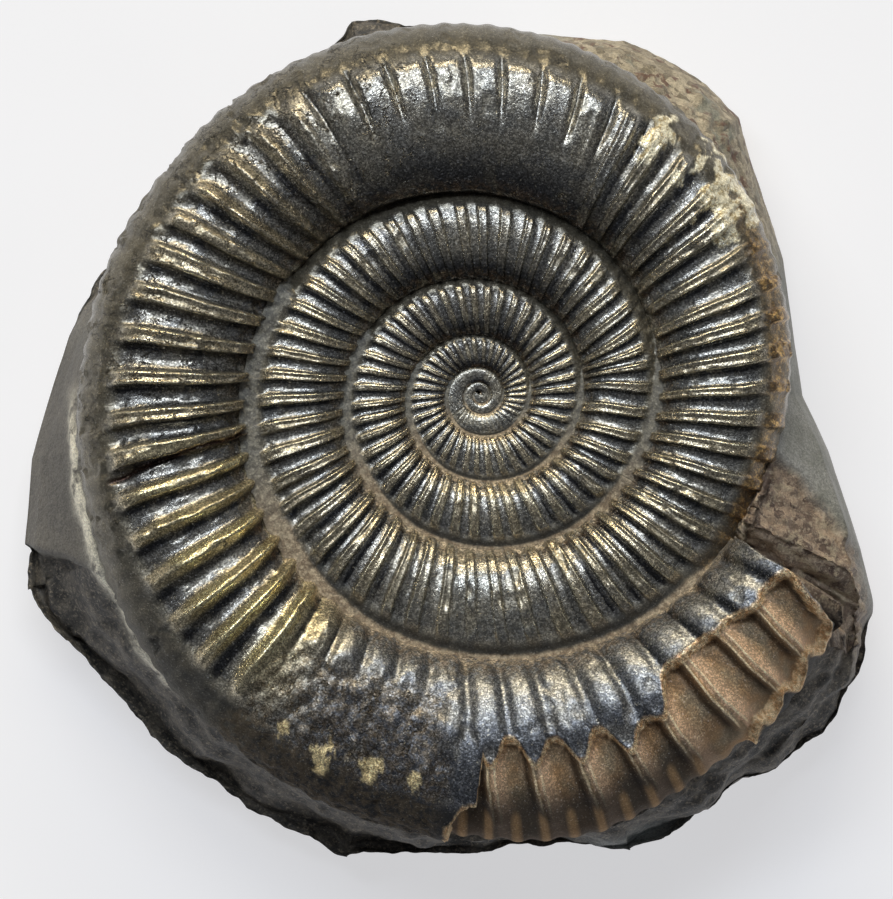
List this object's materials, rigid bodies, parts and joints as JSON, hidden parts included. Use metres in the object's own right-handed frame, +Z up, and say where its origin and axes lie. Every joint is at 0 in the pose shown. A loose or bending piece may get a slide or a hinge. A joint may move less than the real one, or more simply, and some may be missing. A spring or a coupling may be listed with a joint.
{
  "type": "ammonite fossil",
  "caption": "Ribbed spiral ammonite shell seated in a broken flat-bottomed nodule, shell side up, lying on a flat rock face.",
  "frame": {"origin": "on the flat resting face, under the middle of the whole piece's box", "axes": "+Z up out of the coil's face, -Y towards the brown broken end of the last whorl, +X to its right"},
  "size_m": [0.073, 0.0726, 0.0236],
  "materials": {
    "pyritised_shell": "dark grey fossil shell with a dull metallic lustre and sparkling grain, gold-brown where it is worn",
    "nodule_rock": "matt dark shale and grey-brown nodule rock with a pebbly beige crust"
  },
  "bodies": {
    "root": {"ammonite": "pyritised_shell", "rock_matrix": "nodule_rock"}
  },
  "joints": []
}
